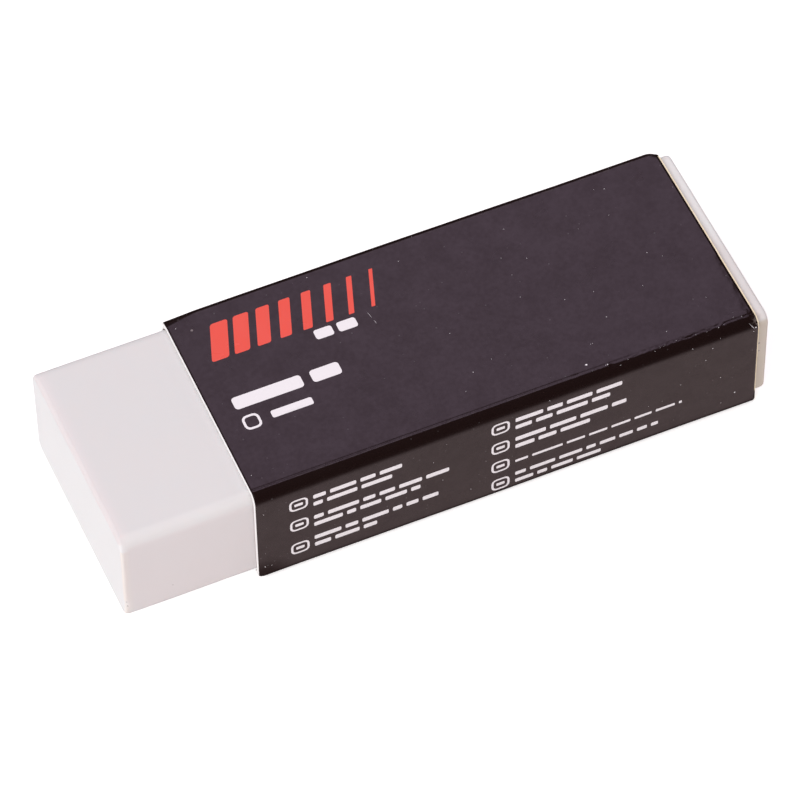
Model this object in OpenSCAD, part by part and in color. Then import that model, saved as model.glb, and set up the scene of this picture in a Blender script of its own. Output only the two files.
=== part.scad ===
// Block eraser of white vinyl in a folded and glued card sleeve.
// The long side runs along X. The block's middle is at X = 0 and Y = 0, and the sleeve rests on Z = 0.

/* [Eraser block] */
// Length of the block
block_length = 65; // [54:0.5:90]
// Width of the block
block_width = 22.1; // [18:0.1:40]
// Height of the block
block_height = 11.5; // [7:0.1:25]
// Radius of the four long edges
long_edge_radius = 1.25; // [0.4:0.05:3]
// Radius of the edges around both ends
end_edge_radius = 0.4; // [0.2:0.05:2]

/* [Card sleeve] */
// Length of the sleeve
sleeve_length = 50.85; // [20:0.05:60]
// How far the block stands out of the sleeve's left end
nose_length = 12.95; // [2:0.05:30]
// Thickness of the card
card_thickness = 0.35; // [0.2:0.05:0.6]
// Outer radius of the folds
fold_radius = 0.75; // [0.65:0.05:1.5]
// Width of the glue flap inside the bottom, from the rear face
flap_width = 14; // [6:0.5:16]
// How far the bottom panel stops short of the rear face
panel_setback = 0.9; // [0.8:0.1:6]
// Slide gap between the block and the card on each side
side_gap = 0.05; // [0.01:0.01:0.4]
// Gap between the block and the card above it
top_gap = 0.1; // [0.01:0.01:0.6]

/* [Hidden] */
$fn = 64;

// The bottom is two cards thick where the flap is glued to the bottom panel, and the block lies on the flap.
seat_height = 2 * card_thickness;
inner_fold_radius = fold_radius - card_thickness;
sleeve_width = block_width + 2 * (side_gap + card_thickness);
sleeve_height = seat_height + block_height + top_gap + card_thickness;
sleeve_left = nose_length - block_length / 2;
rear_face = sleeve_width / 2;
flap_edge = rear_face - flap_width;
panel_edge = rear_face - panel_setback;

// A rectangle from one corner to the opposite one, with round corners
module rounded_panel(low, high, radius) {
    translate([low[0] + radius, low[1]])
        square([high[0] - low[0] - 2 * radius, high[1] - low[1]]);
    translate([low[0], low[1] + radius])
        square([high[0] - low[0], high[1] - low[1] - 2 * radius]);
    for (u = [low[0] + radius, high[0] - radius], v = [low[1] + radius, high[1] - radius])
        translate([u, v])
            circle(radius);
}

// Draws its outline in Y and Z, and runs it along X from x_start
module run_along_x(x_start, length) {
    translate([x_start, 0, 0])
        rotate([90, 0, 90])
            linear_extrude(length)
                children();
}

// The part of an outline that lies in front of one place across the width
module in_front_of(edge) {
    intersection() {
        children();
        translate([-sleeve_width, 0])
            square([sleeve_width + edge, sleeve_height]);
    }
}

// Three crossing runs leave round long edges and tighter ones around both ends
module eraser_block() {
    half_length = block_length / 2;
    half_width = block_width / 2;
    block_top = seat_height + block_height;
    color([0.93, 0.91, 0.91])
        intersection() {
            run_along_x(-half_length, block_length)
                rounded_panel([-half_width, seat_height], [half_width, block_top], long_edge_radius);
            translate([0, half_width, 0])
                rotate([90, 0, 0])
                    linear_extrude(block_width)
                        rounded_panel([-half_length, seat_height], [half_length, block_top], end_edge_radius);
            translate([0, 0, seat_height])
                linear_extrude(block_height)
                    rounded_panel([-half_length, -half_width], [half_length, half_width], end_edge_radius);
        }
}

// The outside of the folded card: the rear fold turns in above the bottom panel, which ends at a cut edge
module sleeve_outside() {
    rounded_panel([-rear_face, card_thickness], [rear_face, sleeve_height], fold_radius);
    in_front_of(panel_edge)
        rounded_panel([-rear_face, 0], [rear_face, sleeve_height], fold_radius);
}

// The room inside: above the glued flap, and down to the bottom panel in front of it
module sleeve_inside() {
    wall = rear_face - card_thickness;
    ceiling = sleeve_height - card_thickness;
    rounded_panel([-wall, seat_height], [wall, ceiling], inner_fold_radius);
    in_front_of(flap_edge)
        rounded_panel([-wall, card_thickness], [wall, ceiling], inner_fold_radius);
}

module card_sleeve() {
    color([0.12, 0.1, 0.11])
        run_along_x(sleeve_left, sleeve_length)
            difference() {
                sleeve_outside();
                sleeve_inside();
            }
}

eraser_block();
card_sleeve();
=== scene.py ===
# White vinyl block eraser in a folded black card sleeve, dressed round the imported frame
import math

import bpy
import numpy as np
from mathutils import Matrix, Vector, noise
from mathutils.geometry import delaunay_2d_cdt


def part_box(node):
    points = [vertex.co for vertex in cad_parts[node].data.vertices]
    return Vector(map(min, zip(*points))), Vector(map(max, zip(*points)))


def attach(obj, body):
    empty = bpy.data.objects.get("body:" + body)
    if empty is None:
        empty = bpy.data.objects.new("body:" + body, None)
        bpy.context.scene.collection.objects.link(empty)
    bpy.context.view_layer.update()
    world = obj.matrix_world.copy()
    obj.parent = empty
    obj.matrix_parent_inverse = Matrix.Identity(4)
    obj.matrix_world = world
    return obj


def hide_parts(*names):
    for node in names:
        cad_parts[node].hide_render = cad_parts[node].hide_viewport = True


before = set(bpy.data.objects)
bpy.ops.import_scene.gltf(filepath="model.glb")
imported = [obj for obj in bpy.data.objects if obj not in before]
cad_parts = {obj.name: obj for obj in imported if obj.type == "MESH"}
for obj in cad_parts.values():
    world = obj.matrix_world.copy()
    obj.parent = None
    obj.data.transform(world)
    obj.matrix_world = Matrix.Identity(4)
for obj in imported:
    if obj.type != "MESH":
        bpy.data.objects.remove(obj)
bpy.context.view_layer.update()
mm = 0.001  # shapes are worked out in millimetres, and meshes are written in metres
print("frame loaded:", ", ".join(sorted(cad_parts)))


# Camera, at the photograph's own angle
cameraLook = {
    "lens": 250.2,  # on a 36 mm square frame
    "azimuth": -23.114,
    "elevation": 52.439,
    "roll": -0.808,
    "distance": 521.2,
    "target": (-0.22, 0.0, 3.6),
}


def makeCamera(look):
    turn, lift, roll = (math.radians(look[key]) for key in ("azimuth", "elevation", "roll"))
    back = Vector((math.sin(turn) * math.cos(lift), -math.cos(turn) * math.cos(lift), math.sin(lift)))
    right = Vector((math.cos(turn), math.sin(turn), 0))
    rolledRight = math.cos(roll) * right + math.sin(roll) * back.cross(right)
    axes = Matrix((rolledRight, back.cross(rolledRight), back)).transposed()
    data = bpy.data.cameras.new("camera")
    data.lens = look["lens"]
    data.sensor_width = 36
    data.clip_start = 0.01
    camera = bpy.data.objects.new("camera", data)
    place = (Vector(look["target"]) + back * look["distance"]) * mm
    camera.matrix_world = Matrix.Translation(place) @ axes.to_4x4()
    bpy.context.collection.objects.link(camera)
    bpy.context.scene.camera = camera


makeCamera(cameraLook)
bpy.context.scene.view_settings.view_transform = "Standard"
print("camera set")


# Steps that every node tree uses
def addNode(tree, kind, values=None, **settings):
    node = tree.nodes.new(kind)
    for key, value in settings.items():
        setattr(node, key, value)
    for key, value in (values or {}).items():
        node.inputs[key].default_value = value
    return node


def plug(tree, source, socket):
    # a number or colour is set on the socket, and anything else is linked to it
    if isinstance(source, bpy.types.NodeSocket):
        tree.links.new(source, socket)
    elif isinstance(source, tuple):
        socket.default_value = (*source, 1)
    else:
        socket.default_value = source


def addMath(tree, operation, first, second, clamp=False):
    node = addNode(tree, "ShaderNodeMath", operation=operation, use_clamp=clamp)
    plug(tree, first, node.inputs[0])
    plug(tree, second, node.inputs[1])
    return node.outputs[0]


def addRange(tree, value, fromLow, fromHigh, toLow=0.0, toHigh=1.0):
    node = addNode(tree, "ShaderNodeMapRange", interpolation_type="SMOOTHSTEP")
    for label, source in (("Value", value), ("From Min", fromLow), ("From Max", fromHigh),
                          ("To Min", toLow), ("To Max", toHigh)):
        plug(tree, source, node.inputs[label])
    return node.outputs["Result"]


def mixColor(tree, mask, first, second):
    node = addNode(tree, "ShaderNodeMix", data_type="RGBA")
    plug(tree, mask, node.inputs[0])
    colorSockets = [socket for socket in node.inputs if socket.type == "RGBA"]
    plug(tree, first, colorSockets[0])
    plug(tree, second, colorSockets[1])
    return next(socket for socket in node.outputs if socket.type == "RGBA")


# Effects that several materials share, each a shader group with its own inputs
def startGroup(name, inputs, output):
    group = bpy.data.node_groups.new(name, "ShaderNodeTree")
    for label, value in inputs.items():
        group.interface.new_socket(label, in_out="INPUT", socket_type="NodeSocketFloat").default_value = value
    group.interface.new_socket(output, in_out="OUTPUT", socket_type="NodeSocketFloat")
    place = addNode(group, "ShaderNodeTexCoord").outputs["Object"]
    return group, place, group.nodes.new("NodeGroupInput").outputs, group.nodes.new("NodeGroupOutput").inputs


def makeFineGrain():
    inputs = {"Scale": 900.0, "Coarse Share": 0.35}
    group, place, given, result = startGroup("fineGrain", inputs, "Height")
    coarseScale = 0.23  # the coarse noise is about four times as large as the fine one
    fine = addNode(group, "ShaderNodeTexNoise", {"Detail": 3.0, "Roughness": 0.6})
    coarse = addNode(group, "ShaderNodeTexNoise", {"Detail": 2.0, "Roughness": 0.5})
    plug(group, given["Scale"], fine.inputs["Scale"])
    plug(group, addMath(group, "MULTIPLY", given["Scale"], coarseScale), coarse.inputs["Scale"])
    for node in (fine, coarse):
        plug(group, place, node.inputs["Vector"])
    part = addMath(group, "MULTIPLY", coarse.outputs["Fac"], given["Coarse Share"])
    plug(group, addMath(group, "ADD", fine.outputs["Fac"], part), result["Height"])
    return group


def makeSoftBlotches():
    inputs = {"Scale": 120.0, "Middle": 0.5, "Softness": 0.2}
    group, place, given, result = startGroup("softBlotches", inputs, "Mask")
    cloud = addNode(group, "ShaderNodeTexNoise", {"Detail": 4.0, "Roughness": 0.55, "Distortion": 0.4})
    plug(group, place, cloud.inputs["Vector"])
    plug(group, given["Scale"], cloud.inputs["Scale"])
    low = addMath(group, "SUBTRACT", given["Middle"], given["Softness"])
    high = addMath(group, "ADD", given["Middle"], given["Softness"])
    plug(group, addRange(group, cloud.outputs["Fac"], low, high), result["Mask"])
    return group


def makeDust():
    # specks in a share of the cells of a Voronoi pattern, each of its own size
    inputs = {"Scale": 900.0, "Share": 0.03, "Size": 0.16}
    group, place, given, result = startGroup("dust", inputs, "Mask")
    cells = addNode(group, "ShaderNodeTexVoronoi", feature="F1")
    plug(group, place, cells.inputs["Vector"])
    plug(group, given["Scale"], cells.inputs["Scale"])
    chance = addNode(group, "ShaderNodeSeparateColor")
    plug(group, cells.outputs["Color"], chance.inputs["Color"])
    chosen = addMath(group, "LESS_THAN", chance.outputs["Red"], given["Share"])
    size = addMath(group, "MULTIPLY", chance.outputs["Green"], given["Size"])
    near = addMath(group, "LESS_THAN", cells.outputs["Distance"], size)
    plug(group, addMath(group, "MULTIPLY", chosen, near), result["Mask"])
    return group


fineGrain = makeFineGrain()
softBlotches = makeSoftBlotches()
dust = makeDust()
print("shader groups made")


def useGroup(tree, group, values):
    return addNode(tree, "ShaderNodeGroup", node_tree=group, values=values).outputs[0]


def startFinish(name, values):
    material = bpy.data.materials.new(name)
    material.use_nodes = True
    shader = material.node_tree.nodes["Principled BSDF"]
    for label, value in values.items():
        plug(material.node_tree, value, shader.inputs[label])
    return material, material.node_tree, shader.inputs


def addBump(tree, height, strength, distance):
    node = addNode(tree, "ShaderNodeBump", {"Strength": strength, "Distance": distance})
    plug(tree, height, node.inputs["Height"])
    return node.outputs["Normal"]


# Small curves over numpy arrays, for shaping both pieces
def rise(value, start, end):
    share = np.clip((value - start) / (end - start), 0, 1)
    return share * share * (3 - 2 * share)


def within(value, start, end, soft):
    return rise(value, start - soft, start + soft) * (1 - rise(value, end - soft, end + soft))


def bell(value, middle, width):
    return np.exp(-((value - middle) / width) ** 2)


def bumpy(first, second, scale, seed):
    # smooth noise from -1 to 1 over two coordinates
    pairs = zip(np.ravel(first), np.ravel(second))
    flat = [noise.noise(Vector((a / scale, b / scale, seed * 7.31))) for a, b in pairs]
    return np.reshape(flat, np.shape(first))


def addMesh(name, places, faces, finishes, faceFinish, faceSide):
    # faceSide groups the faces, and an edge between two groups stays sharp
    mesh = bpy.data.meshes.new(name)
    mesh.from_pydata([tuple(place) for place in np.asarray(places) * mm], [], faces)
    for material in finishes:
        mesh.materials.append(material)
    mesh.polygons.foreach_set("material_index", faceFinish)
    mesh.polygons.foreach_set("use_smooth", [True] * len(faces))
    sides = {}
    for face, side in zip(faces, faceSide):
        for first, second in zip(face, face[1:] + face[:1]):
            sides.setdefault((min(first, second), max(first, second)), set()).add(side)
    sharp = [len(sides[tuple(sorted(edge.vertices))]) > 1 for edge in mesh.edges]
    mesh.attributes.new("sharp_edge", "BOOLEAN", "EDGE").data.foreach_set("value", sharp)
    mesh.update()
    piece = bpy.data.objects.new(name, mesh)
    bpy.context.collection.objects.link(piece)
    return piece


# The block: rings of points along its length, drawn in round both ends and closed by two flat faces
blockLook = {
    "longRadius": 1.25,
    "leastRadius": 0.06,  # of the smallest rings, in the end faces
    "endRadius": 0.42,
    "sideShare": 0.5,  # the upright edges are tighter than the others by this share
    "step": 0.4,
    "foldCount": 10,  # faces round each long edge
    "endTurn": 15,  # degrees from ring to ring round the edges of the ends
    "endMargin": 0.2,  # how far the smallest ring stays from the end face's middle line
    "wave": 0.03,  # how far its faces stray from true
    "waves": ((0, 8, 5.0), (1, 2, 7.0), (2, 2, 7.0)),  # axis, how fast it fades inside the face, and size
    # place, radius and depth of each nick in the upright corner, and the way they go in
    "nicks": [((-32.4, -10.97, 3.25), 0.26, 0.16), ((-32.35, -10.97, 2.7), 0.22, 0.14),
              ((-32.5, -10.9, 0.9), 0.4, 0.1)],
    "nickWay": (0.74, 0.67, 0.0),
    "color": (0.789, 0.787, 0.793),
    "warm": (0.799, 0.787, 0.788),
    "speck": (0.55, 0.49, 0.48),
    "paintedLightAndShade": [  # painted light and shade, box by box: colour, the low and high corners of the box it fills, and how softly it starts
        # the left end face lighter: painted light where the key light falls
        ((0.808, 0.822, 0.828), (-40, -20, -5), (-32.3, 20, 20), (0.2, 0.2, 0.2)),
        # the front face darker and pinker: painted shade
        ((0.765, 0.724, 0.729), (-31.9, -20, 0.5), (40, -10.95, 11.45), (0.2, 0.2, 0.2)),
        # a band along the front long edge lighter: painted highlight
        ((0.82, 0.815, 0.818), (-31.9, -10.95, 11.75), (40, -9.9, 20), (0.25, 0.25, 0.25)),
        # the top beside the left end lighter and pinker: painted highlight
        ((0.85, 0.80, 0.81), (-40, -10.6, 12.0), (-31.6, 20, 20), (0.8, 0.8, 0.8)),
        # right on the rounded top-left edge darker again: painted shade that tones that highlight down
        ((0.745, 0.705, 0.713), (-40, -10.6, 11.7), (-32.15, 20, 20), (0.2, 0.2, 0.2)),
        # the front beside the left upright edge darker and creamier: painted warm shade
        ((0.772, 0.727, 0.705), (-40, -20, 0.6), (-31.9, -10.85, 11.0), (0.45, 0.2, 0.2)),
        # the left upright front edge lighter and cream: painted highlight
        ((0.83, 0.79, 0.75), (-40, -20, 1.2), (-32.33, -10.75, 11.0), (0.16, 0.16, 0.16)),
        # the top of the end left out of the sleeve lighter and warmer: painted light against the sleeve's
        # shadow
        ((0.817, 0.799, 0.793), (31.0, -20, 11.7), (40, 20, 20), (0.6, 0.05, 0.05)),
        # the rear of that end's top lighter again: painted light
        ((0.885, 0.89, 0.885), (30.5, -1.5, 10.5), (40, 20, 20), (1.2, 1.2, 1.2)),
        # the front of that end darker and warmer: painted shade beside the sleeve's edge
        ((0.642, 0.59, 0.516), (29.9, -20, -5), (40, -10.8, 11.6), (1.2, 0.2, 0.2))],
    # place and radius of each small dark mark
    "marks": [((-27.76, -10.98, 3.61), 0.09), ((31.58, -10.98, 8.45), 0.15), ((31.62, -10.98, 7.3), 0.11),
              ((-32.31, -10.9, 3.25), 0.12), ((-32.22, -10.92, 2.7), 0.1)],
    "mark": (0.3, 0.27, 0.26),
    "finish": {"Subsurface Weight": 0.2, "Subsurface Scale": 0.0005, "Specular IOR Level": 0.3},
    "scatter": (1.0, 0.8, 0.75),
    "blotches": {"Scale": 90.0, "Middle": 0.52, "Softness": 0.2},
    "specks": {"Scale": 420.0, "Share": 0.02, "Size": 0.11},
    "grain": {"Scale": 1500.0, "Coarse Share": 0.8},
    "roughness": (0.46, 0.6),
    "bump": (0.25, 0.00003),  # strength, and height in metres
}
grainSpan = (0.4, 1.4)  # the lowest and the highest of the grain, where its coarse share is large


def boxMask(tree, place, low, high, soft):
    # 1 inside a box given in mm, falling off to 0 over the soft distances
    parts = addNode(tree, "ShaderNodeSeparateXYZ")
    plug(tree, place, parts.inputs[0])
    mask = 1.0
    for part, start, end, fade in zip(parts.outputs, low, high, soft):
        mask = addMath(tree, "MULTIPLY", mask, addRange(tree, part, (start - fade) * mm, (start + fade) * mm))
        mask = addMath(tree, "MULTIPLY", mask, addRange(tree, part, (end + fade) * mm, (end - fade) * mm))
    return mask


def makeVinyl(look):
    material, tree, shader = startFinish("vinyl", look["finish"])
    shader["Subsurface Radius"].default_value = look["scatter"]
    blotches = useGroup(tree, softBlotches, look["blotches"])
    specks = useGroup(tree, dust, look["specks"])
    color = mixColor(tree, blotches, look["color"], look["warm"])
    place = addNode(tree, "ShaderNodeTexCoord").outputs["Object"]
    # the painted light and shade, box by box, over the vinyl's own colour
    for paintedTone, low, high, soft in look["paintedLightAndShade"]:
        color = mixColor(tree, boxMask(tree, place, low, high, soft), color, paintedTone)
    for middle, radius in look["marks"]:
        gap = addNode(tree, "ShaderNodeVectorMath", operation="DISTANCE")
        plug(tree, place, gap.inputs[0])
        gap.inputs[1].default_value = [part * mm for part in middle]
        near = addRange(tree, gap.outputs["Value"], radius * mm, 0.5 * radius * mm)
        color = mixColor(tree, near, color, look["mark"])
    plug(tree, mixColor(tree, specks, color, look["speck"]), shader["Base Color"])
    grain = useGroup(tree, fineGrain, look["grain"])
    plug(tree, addRange(tree, grain, *grainSpan, *look["roughness"]), shader["Roughness"])
    plug(tree, addBump(tree, grain, *look["bump"]), shader["Normal"])
    return material


def blockRing(halfWidth, halfHeight, radius, widthCount, heightCount, bendCount):
    # a rounded rectangle in Y and Z, from the low rear corner round to the start
    flatY, flatZ = halfWidth - radius, halfHeight - radius
    corners = [(flatY, -flatZ, -90), (flatY, flatZ, 0), (-flatY, flatZ, 90), (-flatY, -flatZ, 180)]
    ends, points = [], []
    for y, z, start in corners:
        turns = [math.radians(start + 90 * step / bendCount) for step in range(bendCount + 1)]
        ends.append([(y + radius * math.cos(turn), z + radius * math.sin(turn)) for turn in turns])
    for index, bend in enumerate(ends):
        count = heightCount if index % 2 == 0 else widthCount
        first, last = Vector(bend[-1]), Vector(ends[(index + 1) % 4][0])
        points += bend[:-1] + [tuple(first.lerp(last, step / count)) for step in range(count)]
    return points


def makeBlock(look):
    low, high = (np.array(corner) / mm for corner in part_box("eraser_block"))
    middle, half = (low + high) / 2, (high - low) / 2
    endRadius, step = look["endRadius"], look["step"]
    counts = (round(2 * half[1] / step), round(2 * half[2] / step), look["foldCount"])
    bends = [math.radians(angle) for angle in range(0, 90, look["endTurn"])]
    # each station is a place along X and how far its ring lies inside the block's outline
    leftEnd = [(-half[0], inset) for inset in np.arange(half[2] - look["endMargin"], endRadius, -step)]
    leftEnd += [(-half[0] + endRadius * (1 - math.cos(bend)), endRadius * (1 - math.sin(bend)))
                for bend in bends]
    flatStart = half[0] - endRadius
    flatCount = round(2 * flatStart / step)
    stations = leftEnd + [(flatStart * (2 * index / flatCount - 1), 0) for index in range(flatCount + 1)]
    stations += [(-x, inset) for x, inset in reversed(leftEnd)]
    rings = []
    for _, inset in stations:
        sideInset = inset if inset > endRadius else inset * look["sideShare"]
        radius = max(look["longRadius"] - inset, look["leastRadius"])
        rings.append(blockRing(half[1] - sideInset, half[2] - inset, radius, *counts))
    size = len(rings[0])
    places = np.array([(x, y, z) for (x, _), ring in zip(stations, rings) for y, z in ring])
    faces = []
    for first in range(0, size * (len(stations) - 1), size):
        for point in range(size):
            other = (point + 1) % size
            faces.append([first + point, first + other, first + size + other, first + size + point])
    last = size * (len(stations) - 1)
    faces += [list(range(size - 1, -1, -1)), list(range(last, last + size))]
    # soft moulded faces: every point moves a little way in, and none moves out
    toward = places / half
    for axis, power, scale in look["waves"]:
        others = [other for other in (0, 1, 2) if other != axis]
        side = np.sign(places[:, axis])
        stray = bumpy(places[:, others[0]] + 40 * side, places[:, others[1]], scale, 3 + axis)
        places[:, axis] -= side * look["wave"] * (1 + stray) * np.abs(toward[:, axis]) ** power
    places += middle
    for place, radius, deep in look["nicks"]:
        gap = np.linalg.norm(places - np.array(place), axis=1)
        places += np.array(look["nickWay"]) * (deep * bell(gap, 0, radius))[:, None]
    block = addMesh("eraserBlock", places, faces, [makeVinyl(look)], [0] * len(faces), [0] * len(faces))
    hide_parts("eraser_block")
    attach(block, "block")
    return block


block = makeBlock(blockLook)
print("block made:", len(block.data.polygons), "faces")


# The sleeve: one sheet of card, followed from the glue flap's edge round to the bottom panel's edge
sleeveLook = {
    "card": 0.34,
    "glueLine": 0.01,
    "foldRadius": 0.75,
    "rearFold": (0.65, 0.65),  # the scored folds beside the top: how far each reaches in, and its drop
    "frontFold": (0.85, 1.35),
    "creaseKink": 16.0,  # degrees that the card turns at once along a score line
    "rearSag": {"depth": 0.05, "width": 0.45, "start": 5.0, "end": 22.0},  # flatter to the right
    "flapWidth": 14.0,
    "panelSetback": 0.9,
    "step": 0.45,  # of the mesh on the faces, round the folds, and on the hidden panels
    "foldStep": 0.11,
    "panelStep": 0.8,
    "weld": 0.004,  # a corner of the print this close to the mesh joins it
    # how far each cut strays: at the top's rear and front, the front face's top and bottom, and underneath
    "leftCut": (0.2, 0.0, 0.0, 0.04, 1.1),
    "rightCut": (0.0, 0.0, 0.05, 0.05, 0.3),
    "bow": 0.03,
    "wave": 0.02,
    "score": {"place": -0.27, "width": 0.075, "depth": 0.026, "faded": 0.9},
    "ragged": {"place": -0.05, "width": 0.22, "depth": 0.038, "size": 0.34},  # the front fold's right half
    "wedge": {"width": 0.6, "slope": 0.22, "length": 3.2},  # the rear fold starts early beside the left cut
    "dull": {"across": 4.5, "up": 3.4, "past": 0.5, "share": 0.85},  # scuffed low left corner of the front
    "leftBare": 0.06,  # where the print stops short of each cut
    "rightBare": 0.13,
    "leftRoll": {"depth": 0.03, "reach": 0.22},
    "rightRoll": {"depth": 0.075, "reach": 0.35, "frontReach": 0.25, "frontStart": (0.3, 1.4),
                  "cornerDepth": 0.06, "cornerReach": 1.0, "cornerStart": (-8.3, -7.2), "ragged": (0.3, 0.2)},
    "fill": {"past": 0.4, "soft": 0.25, "most": 0.5, "gap": 0.04},  # card bunched up inside its tight folds
    "rearPinch": {"depth": 0.39, "reach": 1.1, "width": 0.7},
    "crumple": {"radius": 0.9, "depth": 0.06, "place": 0.5, "stretch": 0.8},  # broken card at the right
    # x, distance past the front crease, width and depth
    "dents": [(16.4, 0.12, 0.22, 0.1), (12.9, -0.1, 0.3, 0.03), (24.6, 0.1, 0.3, 0.03)],
    # how much of the print is rubbed off at the front fold's right corner and left half; along the rear fold
    # the same rubbed colour paints a thin highlight
    "rubsAndSheen": {"corner": {"share": 0.8, "x": -0.1, "past": 0.9, "stretch": 0.6, "radius": 0.35},
             "crease": {"share": 0.05, "past": -0.08, "width": 0.06},
             "rear": {"share": 0.03, "more": 0.05, "past": 0.1, "width": 0.07}},
    # bare board: two colours, the scale of its grain, and how much light it throws on the block. The cut
    # edges are lighter than the inside, partly the board's bare core and partly painted highlight: pure white
    # at the left cut where the key light falls, cream at the right cut and on the bare strip beside it
    "boards": {"boardInside": ((0.66, 0.62, 0.57), (0.56, 0.52, 0.47), 1500.0, 1.0),
               "leftEdge": ((1.0, 1.0, 1.0), (0.97, 0.97, 0.96), 4000.0, 0.45),
               "rightEdge": ((1.0, 0.9, 0.68), (0.96, 0.82, 0.57), 4000.0, 1.0)},
    "boardRoughness": (0.7, 0.95),
    "boardBump": (0.5, 0.00004),
}
sleeveLow, sleeveHigh = (np.array(corner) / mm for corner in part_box("card_sleeve"))


def traceSection(look, low, high):
    # the outside of the card in Y and Z, how far along the card each point is, and where each part starts
    points, starts = [], {}
    radius, kink = look["foldRadius"], math.radians(look["creaseKink"])
    front, rear, top = low[1], high[1], high[2]
    flapZ = look["card"] + look["glueLine"]

    def addLine(name, first, last):
        starts[name] = max(len(points) - 1, 0)
        for share in np.linspace(0, 1, 40)[1 if points else 0:]:
            points.append((first[0] + (last[0] - first[0]) * share, first[1] + (last[1] - first[1]) * share))

    def addFold(name, centre, start):
        starts[name] = len(points) - 1
        for share in np.linspace(0, 1, 40)[1:]:
            turn = math.radians(start + 90 * share)
            points.append((centre[0] + radius * math.cos(turn), centre[1] + radius * math.sin(turn)))

    def addScoredFold(name, edge, inward, size, shares):
        # it turns at once by the kink where it leaves the top, and then round the rest of an ellipse
        starts[name] = len(points) - 1
        for share in shares:
            turn = kink + (math.pi / 2 - kink) * share
            across = (math.sin(turn) - math.sin(kink)) / (1 - math.sin(kink))
            drop = size[1] * (1 - math.cos(turn) / math.cos(kink))
            points.append((edge + inward * size[0] * (1 - across), top - drop))

    rearFold, frontFold = look["rearFold"], look["frontFold"]
    addLine("flap", (rear - look["flapWidth"], flapZ), (rear - radius, flapZ))
    addFold("rearLow", (rear - radius, flapZ + radius), -90)
    addLine("rear", (rear, flapZ + radius), (rear, top - rearFold[1]))
    addScoredFold("rearHigh", rear, -1, rearFold, np.linspace(1, 0, 60)[1:])
    addLine("top", (rear - rearFold[0], top), (front + frontFold[0], top))
    addScoredFold("frontHigh", front, 1, frontFold, np.linspace(0, 1, 60)[1:])
    addLine("front", (front, top - frontFold[1]), (front, radius))
    addFold("frontLow", (front + radius, radius), 180)
    addLine("panel", (front + radius, 0), (rear - look["panelSetback"], 0))
    points = np.array(points)
    steps = np.diff(points, axis=0)
    along = np.concatenate([[0], np.cumsum(np.hypot(steps[:, 0], steps[:, 1]))])
    heading = np.gradient(points, axis=0)
    outward = np.stack([heading[:, 1], -heading[:, 0]], axis=1)
    outward /= np.linalg.norm(outward, axis=1)[:, None]
    return points, outward, along, {name: along[index] for name, index in starts.items()}


sectionPoints, sectionOutward, sectionAlong, starts = traceSection(sleeveLook, sleeveLow, sleeveHigh)
cardLength = sectionAlong[-1]
print("card round the section:", round(cardLength, 2), "mm")


def onTop(y):
    # distance along the card of a place on the top, and below of one on the front face
    return starts["frontHigh"] - (y - sleeveLow[1] - sleeveLook["frontFold"][0])


def onFront(z):
    return starts["front"] + sleeveHigh[2] - sleeveLook["frontFold"][1] - z


def cardBend(x, along, look):
    # how far the whole card lies inside its true place: bow, waves, folds and dents
    left, right = sleeveLow[0], sleeveHigh[0]
    middle, half = (left + right) / 2, (right - left) / 2
    crease = starts["frontHigh"]
    depth = look["bow"] * ((x - middle) / half) ** 2 * within(along, starts["rear"], crease, 0.5)
    # two slow waves that add up to 1.6 at the most, so the card only ever moves in
    wave = np.sin(0.21 * x + 0.8) * np.sin(0.33 * along + 0.4) + 0.6 * np.sin(0.47 * x - 0.21 * along)
    depth += look["wave"] * (1.6 - wave) * 0.5
    wedge = look["wedge"]
    reach = wedge["width"] * np.clip(1 - (x - left) / wedge["length"], 0, 1)
    past = along - starts["top"]
    depth += wedge["slope"] * np.minimum(np.clip(reach - past, 0, None), reach) * rise(past, -1.9, -0.1)
    pinch, sag = look["rearPinch"], look["rearSag"]
    near = np.clip(1 - (right - x) / pinch["reach"], 0, 1) ** 2
    rearFold = (starts["rearHigh"] + starts["top"]) / 2
    depth += pinch["depth"] * near * bell(along, rearFold, pinch["width"])
    depth += sag["depth"] * rise(x, sag["start"], sag["end"]) * bell(along, rearFold, sag["width"])
    # the score line is a shallow groove, and uneven towards the right
    score, ragged = look["score"], look["ragged"]
    fading = 1 - score["faded"] * rise(x, middle + 3, right - 6)
    depth += score["depth"] * bell(along, crease + score["place"], score["width"]) * fading
    near = np.abs(along - crease + 0.15) < 0.8  # the noise is slow, and is only worked out where it counts
    uneven = 1.2 + 1.6 * bumpy(x[near], 1.6 * along[near], ragged["size"], 6)
    reach = bell(along[near], crease + ragged["place"], ragged["width"]) * rise(x[near], middle, right)
    depth[near] += ragged["depth"] * reach * uneven
    for dentX, across, width, deep in look["dents"]:
        depth += deep * bell(x, dentX, width) * bell(along, crease + across, width)
    # broken card at the front corner of the right end
    corner = look["crumple"]
    near = (x > right - 3) & (np.abs(along - crease) < 3)
    gap = np.hypot(x[near] - right, (along[near] - crease - corner["place"]) * corner["stretch"])
    ridges = np.abs(bumpy(x[near] * 1.6 + along[near], along[near] * 1.2 - x[near], 0.6, 4))
    ridges += 0.4 * bumpy(x[near], along[near], 0.3, 9)
    depth[near] += corner["depth"] * bell(gap, 0, corner["radius"]) * (0.5 + ridges)
    return depth


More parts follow.
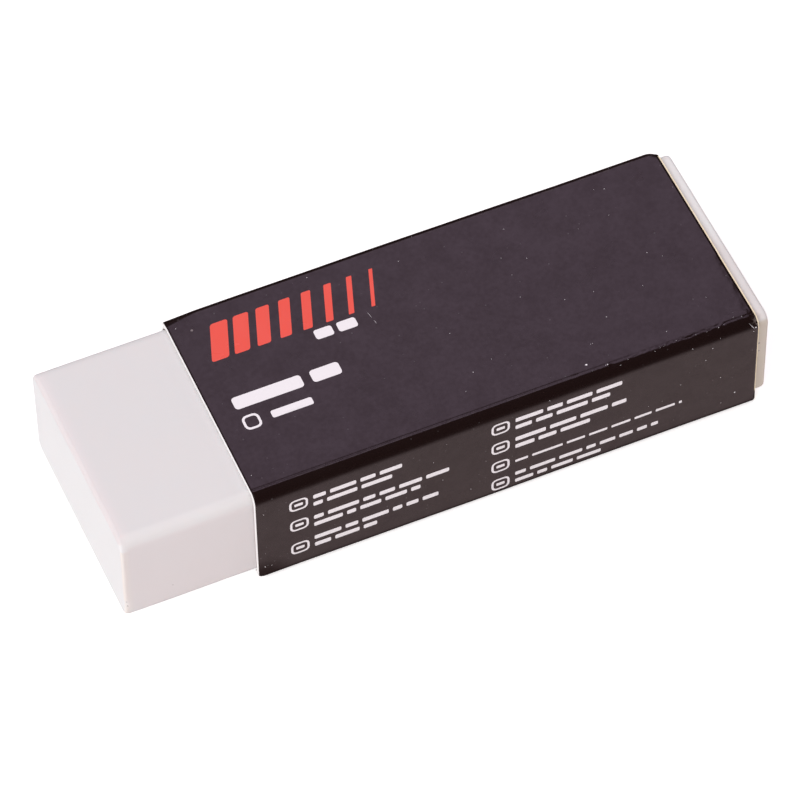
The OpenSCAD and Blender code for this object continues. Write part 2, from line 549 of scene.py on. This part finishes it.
def cardRoll(x, along, look):
    # how far the outside alone rolls down beside the two cut ends
    roll, other = look["rightRoll"], look["leftRoll"]
    crease = starts["frontHigh"]
    start, end = roll["frontStart"]
    onFrontFace = rise(along, crease + start, crease + end)
    start, end = roll["cornerStart"]
    nearCorner = rise(along, crease + start, crease + end) * (1 - onFrontFace)
    coarse, fine = roll["ragged"]
    ragged = 1 + coarse * np.sin(2.6 * along) * np.sin(1.1 * along) + fine * np.sin(7.3 * along)
    toCut, bare = sleeveHigh[0] - x, look["rightBare"]
    reach = roll["reach"] + (roll["frontReach"] - roll["reach"]) * onFrontFace
    depth = roll["depth"] * (1 - rise(toCut, bare, reach))
    depth += roll["cornerDepth"] * nearCorner * (1 - rise(toCut, bare, roll["cornerReach"] * ragged))
    return depth + other["depth"] * (1 - rise(x - sleeveLow[0], look["leftBare"], other["reach"]))


def cardFill(y, z, along, look):
    # how much thicker the card is inside its tight folds, where it bunches up against the block
    low, high = (np.array(corner[1:]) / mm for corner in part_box("eraser_block"))
    middle, half, radius = (low + high) / 2, (high - low) / 2, blockLook["longRadius"]
    outY, outZ = (np.maximum(np.abs(place - at) - size + radius, 0)
                  for place, at, size in zip((y, z), middle, half))
    room = np.hypot(outY, outZ) - radius - look["gap"]
    folded = sum(within(along, starts[fold] - look["past"], starts[after] + look["past"], look["soft"])
                 for fold, after in (("rearLow", "rear"), ("rearHigh", "top"), ("frontLow", "panel")))
    return np.clip(room, 0, look["most"]) * folded


def cardPlaces(x, along, look):
    # outer and inner points of the card, for arrays of length along X and distance along the section
    y, z = (np.interp(along, sectionAlong, sectionPoints[:, axis]) for axis in (0, 1))
    outY, outZ = (np.interp(along, sectionAlong, sectionOutward[:, axis]) for axis in (0, 1))
    bend, roll = cardBend(x, along, look), cardRoll(x, along, look)
    # the two ends were cut a little askew
    knots = [starts[part] for part in ("rear", "top", "frontHigh", "front", "frontLow", "panel")]
    strays = [np.interp(along, [*knots, starts["panel"] + 3], (0, *cut, 0))
              for cut in (look["leftCut"], look["rightCut"])]
    share = (x - sleeveLow[0]) / (sleeveHigh[0] - sleeveLow[0])
    shifted = np.clip(x + strays[0] * (1 - share) + strays[1] * share, sleeveLow[0], sleeveHigh[0])
    inside = bend + look["card"]
    inside = inside + cardFill(y - outY * inside, z - outZ * inside, along, look["fill"])
    sides = []
    for depth in (bend + roll, inside):
        sides.append(np.stack([shifted, y - outY * depth, z - outZ * depth], axis=-1))
    return sides


def makeBoard(name, look):
    # unprinted board, for the inside and the cut edges, which are partly painted highlight
    color, shade, scale, bounce = look["boards"][name]
    material, tree, shader = startFinish(name, {"Specular IOR Level": 0.2})
    fibres = useGroup(tree, fineGrain, {"Scale": scale, "Coarse Share": 0.9})
    blotches = useGroup(tree, softBlotches, {"Scale": scale * 0.3, "Middle": 0.5, "Softness": 0.25})
    surface = mixColor(tree, blotches, color, shade)
    rays = addNode(tree, "ShaderNodeLightPath").outputs
    thrown = tuple(bounce * part for part in color)
    plug(tree, mixColor(tree, rays["Is Diffuse Ray"], surface, thrown), shader["Base Color"])
    plug(tree, addRange(tree, fibres, *grainSpan, *look["boardRoughness"]), shader["Roughness"])
    plug(tree, addBump(tree, fibres, *look["boardBump"]), shader["Normal"])
    return material


# The print on the sleeve: plain bars, frames and rows of dashes, and small flecks of bare board
printLook = {
    "black": (0.012, 0.0046, 0.0042),
    "coral": (0.90, 0.08, 0.041),
    "white": (0.93, 0.91, 0.94),
    # on the black: scale, share, size and colour
    "dust": [(1500.0, 0.3, 0.14, (0.05, 0.044, 0.045)), (520.0, 0.04, 0.1, (0.2, 0.17, 0.17))],
    # the colour of rubbed print, also used for the painted highlight along the rear fold
    "rubbedAndSheen": (0.32, 0.27, 0.25),
    "rubAndSheenPatches": {"Scale": 2600.0, "Middle": 0.5, "Softness": 0.06},
    "varnishPatches": {"Scale": 300.0, "Middle": 0.5, "Softness": 0.3},
    "grain": {"Scale": 2200.0, "Coarse Share": 0.7},
    "roughness": (0.25, 0.275),
    "gloss": (0.425, 0.575),
    "bump": (0.3, 0.00002),
    # the print on the top is placed in X and Y, and the print on the front in X and Z
    "hatch": {"left": -16.4, "low": 4.7, "high": 8.9, "slant": 0.35, "pitch": 2.3,
              "widths": (1.75, 1.55, 1.35, 1.15, 0.95, 0.75, 0.55, 0.38)},
    # left, right, middle and height, and for the frame x, y, width, height and line
    "topBars": [(-7.2, -5.4, 3.72, 1.15), (-4.9, -3.0, 3.72, 1.15),
                (-17.2, -10.3, -0.6, 1.45), (-9.4, -6.5, -0.6, 1.45), (-14.4, -10.3, -3.1, 0.85)],
    "topFrame": (-16.35, -3.1, 1.7, 1.7, 0.24),
    "frame": (1.85, 1.62, 0.22),  # width, height and line
    "frameDash": (0.42, 0.38),  # half length, and height
    # where frames and dashes start, then each row: z of both, where its lines end, and its size if smaller
    "columns": [
        (-15.3, -13.85, [(9.55, 9.37, (-5.0, -6.0)), (6.48, 6.25, (-0.3, -3.2)), (2.94, 3.13, (-1.4, -7.6))]),
        (4.9, 6.4, [(10.12, 10.0, (17.2, 16.0)), (7.21, 7.13, (17.7, 14.0)), (4.39, 4.33, (23.5,), 0.6),
                    (1.7, 1.87, (21.1, 15.2), 0.85)]),
    ],
    "lineGap": 1.08,
    "dash": {"height": 0.56, "gap": 0.42, "lengths": (0.9, 3.2), "shortest": 0.3, "joined": 0.7},
    "seed": 12,
    "flecks": {
        "seed": 21, "count": 60, "size": (0.025, 0.05), "margin": 0.8,
        "spread": 26.0,  # how far most of them lie from the right end
        "onCrease": {"count": 16, "start": 14.5, "spread": 0.13, "size": (0.022, 0.04)},
        # x, distance past the front crease, and size
        "spots": [(29.05, 10.2, 0.09), (14.35, -0.95, 0.12), (25.8, 3.65, 0.06), (27.45, 7.1, 0.06),
                  (26.45, 2.2, 0.05), (16.15, -0.2, 0.06), (30.9, 1.4, 0.1), (-18.85, 11.15, 0.08),
                  (-18.2, 11.25, 0.05), (30.66, 1.85, 0.04)],
        # width, and places in the same way
        "scratches": [(0.028, [(-1.7, -15.0), (-1.61, -14.5), (-1.53, -14.05)]),
                      (0.028, [(-1.48, -13.8), (-1.43, -13.5), (-1.39, -13.25)]),
                      (0.045, [(30.3, 0.68), (30.5, 1.1), (30.62, 1.3), (30.75, 1.55)])]},
}
# the order of the sleeve's materials
blackInk, coralInk, whiteInk, boardInside, leftEdge, rightEdge = range(6)


def makePrint(name, color, look):
    # one printed colour under the semi-gloss varnish, rubbed where the mesh says so, and lightened there as a
    # painted highlight along the rear fold
    material, tree, shader = startFinish(name, {})
    rubAndSheen, dull = (addNode(tree, "ShaderNodeAttribute", attribute_name=label).outputs["Fac"]
                 for label in ("rubAndSheen", "dull"))
    broken = useGroup(tree, softBlotches, look["rubAndSheenPatches"])
    surface = mixColor(tree, addMath(tree, "MULTIPLY", rubAndSheen, broken), color, look["rubbedAndSheen"])
    if name == "blackPrint":
        for scale, share, size, dustColor in look["dust"]:
            specks = useGroup(tree, dust, {"Scale": scale, "Share": share, "Size": size})
            surface = mixColor(tree, specks, surface, dustColor)
    plug(tree, surface, shader["Base Color"])
    blotches = useGroup(tree, softBlotches, look["varnishPatches"])
    plug(tree, addRange(tree, blotches, 0.0, 1.0, *look["roughness"]), shader["Roughness"])
    grain = useGroup(tree, fineGrain, look["grain"])
    varnish = addMath(tree, "SUBTRACT", 1.0, dull)
    gloss = addRange(tree, grain, 0.5, 1.2, *look["gloss"])
    plug(tree, addMath(tree, "MULTIPLY", gloss, varnish), shader["Specular IOR Level"])
    plug(tree, addBump(tree, grain, *look["bump"]), shader["Normal"])
    return material


def barOutline(left, right, middle, height, slant=0.0, roundness=0.45):
    # a bar with rounded corners, as points in the panel's plane
    radius = min(height, right - left) / 2 * roundness
    points = []
    for x, side, start in ((right - radius, 1, 0), (left + radius, 1, 90),
                           (left + radius, -1, 180), (right - radius, -1, 270)):
        for step in range(4):
            turn = math.radians(start + 30 * step)
            lift = side * (height / 2 - radius) + radius * math.sin(turn)
            points.append((x + radius * math.cos(turn) + slant * lift, middle + lift))
    return points


def frameShapes(x, middle, width, height, line):
    # a rounded outline: white, then its inside in black again
    outer, inner = width / 2, width / 2 - line
    return [(whiteInk, barOutline(x - outer, x + outer, middle, height, roundness=0.65)),
            (blackInk, barOutline(x - inner, x + inner, middle, height - 2 * line, roundness=0.55))]


def dashShapes(left, right, middle, dash, rng):
    # a line of dashes of uneven length, up to its right end, where a short rest joins the last dash
    shapes, at = [], left
    while at < right - dash["shortest"]:
        end = at + rng.uniform(*dash["lengths"])
        if right - end < dash["joined"]:
            end = right
        shapes.append((whiteInk, barOutline(at, end, middle, dash["height"], roundness=0.5)))
        at = end + dash["gap"]
    return shapes


def printShapes(look):
    # every printed shape as (ink, points), the points as length and distance along the card
    rng = np.random.RandomState(look["seed"])
    hatch = look["hatch"]
    middle, height = (hatch["low"] + hatch["high"]) / 2, hatch["high"] - hatch["low"]
    halfDash, dashHeight = look["frameDash"]
    top, front = [], []
    for index, width in enumerate(hatch["widths"]):
        left = hatch["left"] + index * hatch["pitch"]
        top.append((coralInk, barOutline(left, left + width, middle, height, hatch["slant"], 0.3)))
    top += [(whiteInk, barOutline(*bar)) for bar in look["topBars"]] + frameShapes(*look["topFrame"])
    for frameX, dashX, rows in look["columns"]:
        for frameZ, dashZ, ends, *smaller in rows:
            dash = dict(look["dash"], height=look["dash"]["height"] * (smaller or [1])[0])
            front += frameShapes(frameX, frameZ, *look["frame"])
            front.append((whiteInk, barOutline(frameX - halfDash, frameX + halfDash, frameZ, dashHeight)))
            for line, end in enumerate(ends):
                lift = ((len(ends) - 1) / 2 - line) * look["lineGap"]
                front += dashShapes(dashX, end, dashZ + lift, dash, rng)
    shapes = [(ink, [(x, onTop(y)) for x, y in points]) for ink, points in top]
    return shapes + [(ink, [(x, onFront(z)) for x, z in points]) for ink, points in front]


def fleckShapes(flecks):
    # small places where the print is gone: the ones that show most, fine ones strewn about, and scratches
    rng = np.random.RandomState(flecks["seed"])
    crease = starts["frontHigh"]
    left, right = sleeveLow[0] + flecks["margin"], sleeveHigh[0] - flecks["margin"]
    spots = [(x, crease + across, size) for x, across, size in flecks["spots"]]
    for _ in range(flecks["count"]):
        x = max(right - abs(rng.normal(0, flecks["spread"])), left)
        spots.append((x, rng.uniform(starts["rear"], starts["frontLow"]), rng.uniform(*flecks["size"])))
    worn = flecks["onCrease"]
    for _ in range(worn["count"]):
        x = rng.uniform(worn["start"], right)
        spots.append((x, crease + rng.normal(0, worn["spread"]), rng.uniform(*worn["size"])))
    shapes = []
    for x, along, size in spots:
        turns = [math.tau * step / 6 for step in range(6)]
        points = [(x + size * rng.uniform(0.6, 1.1) * math.cos(turn),
                   along + size * rng.uniform(0.5, 1.1) * math.sin(turn)) for turn in turns]
        shapes.append((whiteInk, points))
    for width, places in flecks["scratches"]:
        side = [(x, crease + across) for x, across in places]
        otherSide = [(x + width, along) for x, along in reversed(side[1:-1])]
        shapes.append((whiteInk, side + otherSide))
    return shapes


def gridLines(*stretches):
    # places from (end, step) stretches that follow each other, after the first place
    lines = [stretches[0]]
    for end, step in stretches[1:]:
        count = max(1, round((end - lines[-1]) / step))
        start = lines[-1]
        lines += [start + (end - start) * (index + 1) / count for index in range(count)]
    return np.array(lines)


def counterClockwise(points):
    area = sum(a[0] * b[1] - b[0] * a[1] for a, b in zip(points, points[1:] + points[:1]))
    return points if area > 0 else points[::-1]


def rubbedPrintAndSheen(x, along, rubsAndSheen):
    # how much of the print is rubbed off at each point, and along the rear fold how strong the painted
    # highlight is
    left, right = sleeveLow[0], sleeveHigh[0]
    middle, crease = (left + right) / 2, starts["frontHigh"]
    rubAndSheen = rubsAndSheen["corner"]
    gap = np.hypot(x - right - rubAndSheen["x"], (along - crease - rubAndSheen["past"]) * rubAndSheen["stretch"])
    atCorner = rubAndSheen["share"] * bell(gap, 0, rubAndSheen["radius"])
    rubAndSheen = rubsAndSheen["crease"]
    atCrease = rubAndSheen["share"] * bell(along, crease + rubAndSheen["past"], rubAndSheen["width"])
    atCrease = atCrease * (1 - rise(x, middle, right - 6))
    # a thin painted highlight along the rear fold, stronger towards the right
    rubAndSheen = rubsAndSheen["rear"]
    rearFoldSheen = rubAndSheen["share"] + rubAndSheen["more"] * rise(x, middle - 10, right - 5)
    rearFoldSheen = rearFoldSheen * bell(along, starts["top"] + rubAndSheen["past"], rubAndSheen["width"])
    return np.maximum(atCorner, atCrease + rearFoldSheen)


def scuffedVarnish(x, along, dull):
    # how much of the gloss is gone at each point
    gap = np.hypot((x - sleeveLow[0]) / dull["across"],
                   (along - starts["frontLow"] - dull["past"]) / dull["up"])
    return dull["share"] * (1 - rise(gap, 0.3, 1))


def meshLines(look, leftBare, rightBare):
    # places along X and along the card, closest at the cut edges and the folds
    left, right = sleeveLow[0], sleeveHigh[0]
    middle, crease = (left + right) / 2, starts["frontHigh"]
    step, fine, coarse = look["step"], look["foldStep"], look["panelStep"]
    xLines = gridLines(left, (leftBare, 0.05), (left + 0.35, 0.06), (left + 0.8, 0.12), (left + 4, 0.3),
                       (middle + 4, step), (right - 5, 0.24), (right - 1.4, 0.2), (right - 0.7, 0.12),
                       (rightBare, 0.05), (right, 0.16))
    alongLines = gridLines(0, (starts["rearLow"], coarse), (starts["rear"], fine), (starts["rearHigh"], step),
                           (starts["top"], fine / 1.5), (starts["top"] + 1.2, fine),
                           (crease - 1.2, step), (crease, fine / 1.5),
                           (starts["front"], fine / 1.3), (starts["frontLow"], step), (starts["panel"], fine),
                           (cardLength, coarse))
    return xLines, alongLines


def makeSleeve(look):
    leftBare, rightBare = sleeveLow[0] + look["leftBare"], sleeveHigh[0] - look["rightBare"]
    xLines, alongLines = meshLines(look, leftBare, rightBare)
    gridX, gridAlong = (lines.ravel() for lines in np.meshgrid(xLines, alongLines, indexing="ij"))
    flat = [Vector(pair) for pair in zip(gridX, gridAlong)]
    gridSize = len(flat)
    shapes = printShapes(printLook) + fleckShapes(printLook["flecks"])
    outlines = []
    for _, points in shapes:
        outlines.append(list(range(len(flat), len(flat) + len(points))))
        flat += [Vector(point) for point in counterClockwise(points)]
    corners, _, triangles, sources, _, covers = delaunay_2d_cdt(flat, [], outlines, 0, look["weld"], True)
    x, along = np.array([(corner.x, corner.y) for corner in corners]).T
    outer = cardPlaces(x, along, look)[0]
    inner = cardPlaces(gridX, gridAlong, look)[1]
    outerOf = {source: index for index, found in enumerate(sources) for source in found if source < gridSize}
    faces, finishes, sides = [], [], []
    # bare board beside the right cut, from the top's rear edge down to just above the front's low fold
    bareStart, bareEnd = starts["top"] + 0.3, starts["frontLow"] - 1.2
    for triangle, cover in zip(triangles, covers):
        middleX = sum(x[corner] for corner in triangle) / 3
        middleAlong = sum(along[corner] for corner in triangle) / 3
        ink = shapes[max(cover)][0] if cover else blackInk  # the last shape lies on top
        if middleX > rightBare and bareStart < middleAlong < bareEnd:
            ink = rightEdge
        faces.append(list(reversed(triangle)))
        finishes.append(leftEdge if middleX < leftBare else ink)
        sides.append(0)
    columns, base = len(alongLines), len(corners)
    for i in range(len(xLines) - 1):
        for first in range(base + i * columns, base + (i + 1) * columns - 1):
            faces.append([first, first + columns, first + columns + 1, first + 1])
            finishes.append(boardInside)
            sides.append(1)
    # the rim: the left cut, the bottom panel's edge, the right cut and the flap's edge
    lastI, lastJ = len(xLines) - 1, columns - 1
    stretches = [[(0, j) for j in range(lastJ)], [(i, lastJ) for i in range(lastI)],
                 [(lastI, j) for j in range(lastJ, 0, -1)], [(i, 0) for i in range(lastI, 0, -1)]]
    rim = [(i * columns + j, side) for side, stretch in enumerate(stretches, 2) for i, j in stretch]
    for (here, side), (there, _) in zip(rim, rim[1:] + rim[:1]):
        faces.append([outerOf[here], base + here, base + there, outerOf[there]])
        finishes.append(leftEdge if side == 2 else rightEdge)
        sides.append(side)
    materials = [makePrint(ink + "Print", printLook[ink], printLook) for ink in ("black", "coral", "white")]
    materials += [makeBoard(name, look) for name in look["boards"]]
    sleeve = addMesh("cardSleeve", np.concatenate([outer, inner]), faces, materials, finishes, sides)
    # the rubbed print with the painted rear-fold highlight, and the scuffed varnish, kept on the points
    wearAndSheen = {"rubAndSheen": rubbedPrintAndSheen(x, along, look["rubsAndSheen"]), "dull": scuffedVarnish(x, along, look["dull"])}
    for label, values in wearAndSheen.items():
        values = np.concatenate([values, np.zeros(len(inner))])
        sleeve.data.attributes.new(label, "FLOAT", "POINT").data.foreach_set("value", values)
    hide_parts("card_sleeve")
    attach(sleeve, "sleeve")
    return sleeve


sleeve = makeSleeve(sleeveLook)
print("sleeve made:", len(sleeve.data.polygons), "faces")


# Floor, world and lights, in metres
stageLook = {
    "floorRings": (0.02, 0.06, 0.12, 0.24, 0.45),
    "floorCount": 48,  # faces round each ring
    "floorColor": (0.93, 0.925, 0.92),
    "floorGlow": 0.5,  # only the camera sees it
    "underGlow": 0.3,  # light on the underside, from the floor that the block covers
    "underReach": 0.0005,
    # the floor as the gloss on the card sees it
    "mirror": {"color": (0.72, 0.57, 0.58), "footprint": (0.0325, 0.0115, 0.0), "near": 0.011, "far": 0.029,
               "dim": 0.06, "contact": (0.0002, 0.0005), "contactDim": 0.15},
    "worldLevel": 0.61,
    "worldLean": (-0.4275, 0.0, 0.0),  # how much brighter it gets towards +X, +Y and +Z
    "warmSide": (0.45, -0.89, 0.0),
    "warmColor": (1.0, 0.88, 0.88),
    "worldInGloss": 0.02,
    "worldSeen": 1.1,
    "keyLight": {"toward": (-0.6, -0.42, 0.69), "distance": 0.62, "size": (0.36, 0.36), "power": 1.6,
                 "color": (1.0, 0.985, 0.99)},
    "topBox": {"toward": (0.24, 0.57, 0.79), "distance": 0.62, "size": (0.34, 0.28), "power": 0.4,
               "color": (0.98, 0.75, 0.995)},
    "endBox": {"toward": (1.0, -0.15, 0.12), "distance": 0.62, "size": (0.3, 0.3), "power": 0.6,
               "color": (1.0, 0.96, 0.96), "inGloss": False},
}


def makeFloor(look):
    rings, count = look["floorRings"], look["floorCount"]
    turns = [math.tau * step / count for step in range(count)]
    places = [(0, 0, 0)]
    places += [(radius * math.cos(turn), radius * math.sin(turn), 0) for radius in rings for turn in turns]
    faces = [[0, 1 + step, 1 + (step + 1) % count] for step in range(count)]
    for ring in range(1, len(rings)):
        for step in range(count):
            here, there = 1 + ring * count + step, 1 + ring * count + (step + 1) % count
            faces.append([here - count, here, there, there - count])
    material, tree, shader = startFinish("floorPaint", {
        "Roughness": 0.8, "Specular IOR Level": 0.1, "Emission Color": (1.0, 1.0, 1.0)})
    rays = addNode(tree, "ShaderNodeLightPath").outputs
    shade = useGroup(tree, softBlotches, {"Scale": 20.0, "Middle": 0.5, "Softness": 0.4})
    color = look["floorColor"]
    plug(tree, mixColor(tree, shade, color, tuple(0.99 * part for part in color)), shader["Base Color"])
    # reflections see a warm floor that falls off into a dark room
    mirror = look["mirror"]
    place = addNode(tree, "ShaderNodeTexCoord").outputs["Object"]
    vectors = [addNode(tree, "ShaderNodeVectorMath", operation=name)
               for name in ("ABSOLUTE", "SUBTRACT", "MAXIMUM", "LENGTH")]
    vectors[1].inputs[1].default_value = mirror["footprint"]
    for node, source in zip(vectors, [place] + [node.outputs[0] for node in vectors]):
        plug(tree, source, node.inputs[0])
    glow = addNode(tree, "ShaderNodeEmission")
    plug(tree, mirror["color"], glow.inputs["Color"])
    away = vectors[3].outputs["Value"]
    under = addRange(tree, away, 0.0, look["underReach"], look["underGlow"], 0.0)
    under = addMath(tree, "MULTIPLY", rays["Is Diffuse Ray"], under)
    seenGlow = addMath(tree, "MULTIPLY", rays["Is Camera Ray"], look["floorGlow"])
    plug(tree, addMath(tree, "ADD", under, seenGlow), shader["Emission Strength"])
    falling = addRange(tree, away, mirror["near"], mirror["far"], 1.0, mirror["dim"])
    # close round the footprint the reflected floor is darker: a painted contact shadow
    contact = addRange(tree, away, *mirror["contact"], mirror["contactDim"], 1.0)
    plug(tree, addMath(tree, "MULTIPLY", falling, contact), glow.inputs["Strength"])
    # the floor can be looked through from below
    clear = addNode(tree, "ShaderNodeBsdfTransparent")
    seen = [tree.nodes["Principled BSDF"].outputs[0], glow.outputs[0], clear.outputs[0]]
    masks = [rays["Is Glossy Ray"], addNode(tree, "ShaderNodeNewGeometry").outputs["Backfacing"]]
    last = seen[0]
    for mask, source in zip(masks, seen[1:]):
        mixer = addNode(tree, "ShaderNodeMixShader")
        for socket, value in zip(mixer.inputs, (mask, last, source)):
            plug(tree, value, socket)
        last = mixer.outputs[0]
    plug(tree, last, tree.nodes["Material Output"].inputs["Surface"])
    flags = [0] * len(faces)
    addMesh("floor", np.array(places) / mm, faces, [material], flags, flags)


def makeWorld(look):
    world = bpy.data.worlds.new("studio")
    world.use_nodes = True
    tree = world.node_tree
    background = tree.nodes["Background"]
    toward = addNode(tree, "ShaderNodeTexCoord").outputs["Generated"]
    leans = [addNode(tree, "ShaderNodeVectorMath", operation="DOT_PRODUCT") for _ in range(2)]
    for node, axis in zip(leans, (look["warmSide"], look["worldLean"])):
        plug(tree, toward, node.inputs[0])
        node.inputs[1].default_value = axis
    warmth = addRange(tree, leans[0].outputs["Value"], -1.0, 1.0)
    plug(tree, mixColor(tree, warmth, (1.0, 1.0, 1.0), look["warmColor"]), background.inputs["Color"])
    strength = addMath(tree, "ADD", leans[1].outputs["Value"], look["worldLevel"], clamp=True)
    rays = addNode(tree, "ShaderNodeLightPath").outputs
    for ray, seen in (("Is Glossy Ray", look["worldInGloss"]), ("Is Camera Ray", look["worldSeen"])):
        blend = addNode(tree, "ShaderNodeMix")
        for socket, value in zip(blend.inputs, (rays[ray], None, strength, seen)):
            if value is not None:
                plug(tree, value, socket)
        strength = blend.outputs[0]
    plug(tree, strength, background.inputs["Strength"])
    bpy.context.scene.world = world


def makeLight(name, look):
    data = bpy.data.lights.new(name, "AREA")
    data.shape = "RECTANGLE"
    data.size, data.size_y = look["size"]
    data.energy = look["power"]
    data.color = look["color"]
    light = bpy.data.objects.new(name, data)
    toward = Vector(look["toward"]).normalized()
    light.location = toward * look["distance"]
    light.rotation_mode = "QUATERNION"
    light.rotation_quaternion = toward.to_track_quat("Z", "Y")
    light.visible_glossy = look.get("inGloss", True)
    bpy.context.collection.objects.link(light)


makeFloor(stageLook)
makeWorld(stageLook)
for lightName in ("keyLight", "topBox", "endBox"):
    makeLight(lightName, stageLook[lightName])
print("stage and lights set")
